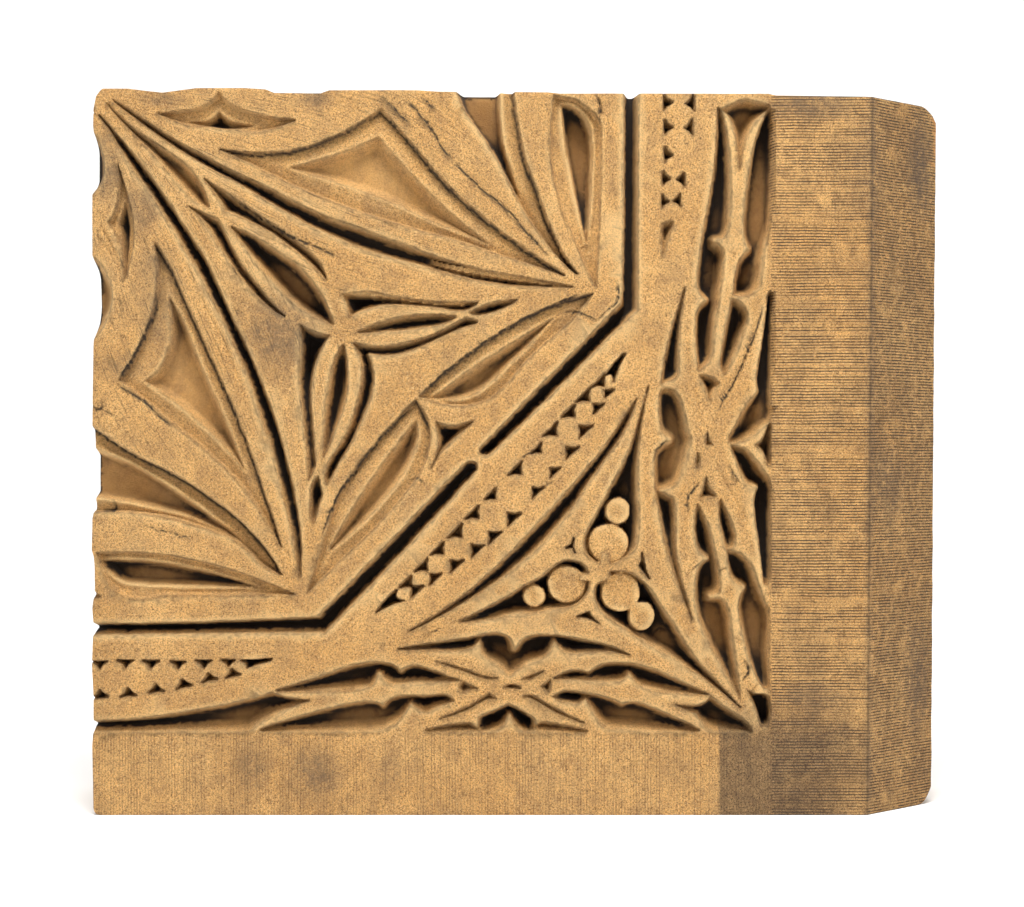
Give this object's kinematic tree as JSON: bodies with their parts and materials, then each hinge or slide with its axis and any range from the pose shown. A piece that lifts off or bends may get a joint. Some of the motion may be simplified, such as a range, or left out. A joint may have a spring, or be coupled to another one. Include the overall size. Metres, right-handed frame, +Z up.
{
  "type": "terracotta spandrel",
  "caption": "Unglazed terracotta spandrel block: sunk tracery, thorned stems, beaded bands and a trefoil, plain tooled margins, a splayed right return and a hollow webbed back.",
  "frame": {"origin": "middle of the underside, below the centre of the bounding box", "axes": "+X to the right across the front, +Y into the wall, +Z up; the carved front faces -Y"},
  "size_m": [0.622, 0.15, 0.5275],
  "materials": {
    "terracotta": "unglazed, sandy, weathered"
  },
  "bodies": {
    "root": {"block": "terracotta"}
  },
  "joints": []
}
